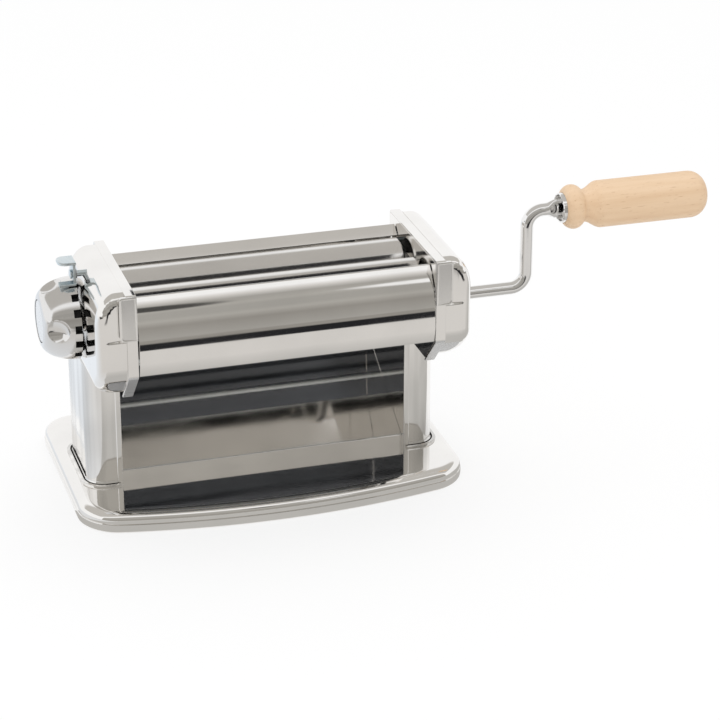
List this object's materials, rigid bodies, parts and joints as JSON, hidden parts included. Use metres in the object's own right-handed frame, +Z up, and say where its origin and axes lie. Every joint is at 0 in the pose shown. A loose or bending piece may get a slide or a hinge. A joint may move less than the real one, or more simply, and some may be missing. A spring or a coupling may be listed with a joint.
{
  "type": "pasta machine",
  "caption": "Hand-cranked pasta machine: rollers between curved covers and side housings on pillars over a base with a delivery chute, with a thickness knob, pawl and wooden crank grip.",
  "frame": {"origin": "centre of the base on the table", "axes": "+X to the crank side, +Y to the rear, +Z up"},
  "size_m": [0.359, 0.151, 0.158],
  "materials": {
    "polished_sheet": "polished stainless steel sheet",
    "roller_steel": "fine turned, satin",
    "gear_steel": "cut and oiled",
    "cast_block": "cast, satin",
    "zinc_plate": "blue zinc plated",
    "bronze": "sintered",
    "spring_steel": "rolled",
    "chrome_plate": "polished",
    "disc_metal": "satin",
    "beech": "turned, unvarnished"
  },
  "bodies": {
    "frame": {"base": "polished_sheet", "left_pillar": "polished_sheet", "right_pillar": "polished_sheet", "pillar_screws": "zinc_plate", "pillar_nuts": "zinc_plate", "left_plate": "polished_sheet", "right_plate": "polished_sheet", "left_rail": "polished_sheet", "right_rail": "polished_sheet", "left_cap": "polished_sheet", "right_cap": "polished_sheet", "cap_screws": "zinc_plate", "front_cover": "polished_sheet", "rear_cover": "polished_sheet", "tie_rods": "zinc_plate", "tie_nuts": "zinc_plate", "chute": "polished_sheet", "front_bushes": "bronze", "input_bush": "bronze", "front_scraper": "spring_steel", "knob_bush": "bronze", "pawl_pin": "zinc_plate"},
    "front_roller": {"front_roller": "roller_steel", "drive_gear": "gear_steel", "reduction_gear": "gear_steel"},
    "carriage": {"left_block": "cast_block", "right_block": "cast_block", "carriage_bar": "zinc_plate", "rear_scraper": "spring_steel"},
    "rear_roller": {"rear_roller": "roller_steel", "rear_gear": "gear_steel"},
    "input": {"input_pinion": "gear_steel", "input_clip": "zinc_plate", "drive_socket": "chrome_plate"},
    "crank": {"crank_bar": "chrome_plate", "crank_rivet": "chrome_plate"},
    "grip": {"grip": "beech", "grip_ferrule": "chrome_plate"},
    "knob": {"knob_shaft": "chrome_plate", "knob_shell": "chrome_plate", "knob_disc": "disc_metal"},
    "pawl": {"pawl": "zinc_plate", "pawl_spring": "spring_steel"}
  },
  "joints": [
    {"name": "front_spin", "type": "hinge", "parent": "frame", "child": "front_roller", "pos_m": [0, -0.0535, 0.1185], "axis": [1, 0, 0], "continuous": true},
    {"name": "crank_turn", "type": "hinge", "parent": "frame", "child": "input", "pos_m": [0, -0.039, 0.103], "axis": [1, 0, 0], "continuous": true},
    {"name": "crank_pull", "type": "slide", "parent": "input", "child": "crank", "axis": [1, 0, 0], "range_m": [0, 0.02]},
    {"name": "grip_spin", "type": "hinge", "parent": "crank", "child": "grip", "pos_m": [0.2, -0.039, 0.1455], "axis": [1, 0, 0], "continuous": true},
    {"name": "thickness_slide", "type": "slide", "parent": "frame", "child": "carriage", "axis": [0, -1, 0], "range_m": [0, 0.0018]},
    {"name": "rear_spin", "type": "hinge", "parent": "carriage", "child": "rear_roller", "pos_m": [0, -0.0245, 0.1185], "axis": [1, 0, 0], "continuous": true},
    {"name": "knob_turn", "type": "hinge", "parent": "frame", "child": "knob", "pos_m": [-0.1, -0.027, 0.1095], "axis": [-1, 0, 0], "range_deg": [0, 112.5]},
    {"name": "pawl_press", "type": "hinge", "parent": "frame", "child": "pawl", "pos_m": [-0.1, -0.031, 0.135], "axis": [-1, 0, 0], "range_deg": [0, 15], "stiffness_Nm_per_rad": 0.05}
  ],
  "couplings": [
    {"joint": "crank_turn", "follows": "front_spin", "ratio": -1.5},
    {"joint": "rear_spin", "follows": "front_spin", "ratio": -1},
    {"joint": "knob_turn", "follows": "thickness_slide", "rad_per_m": 1090.8}
  ]
}
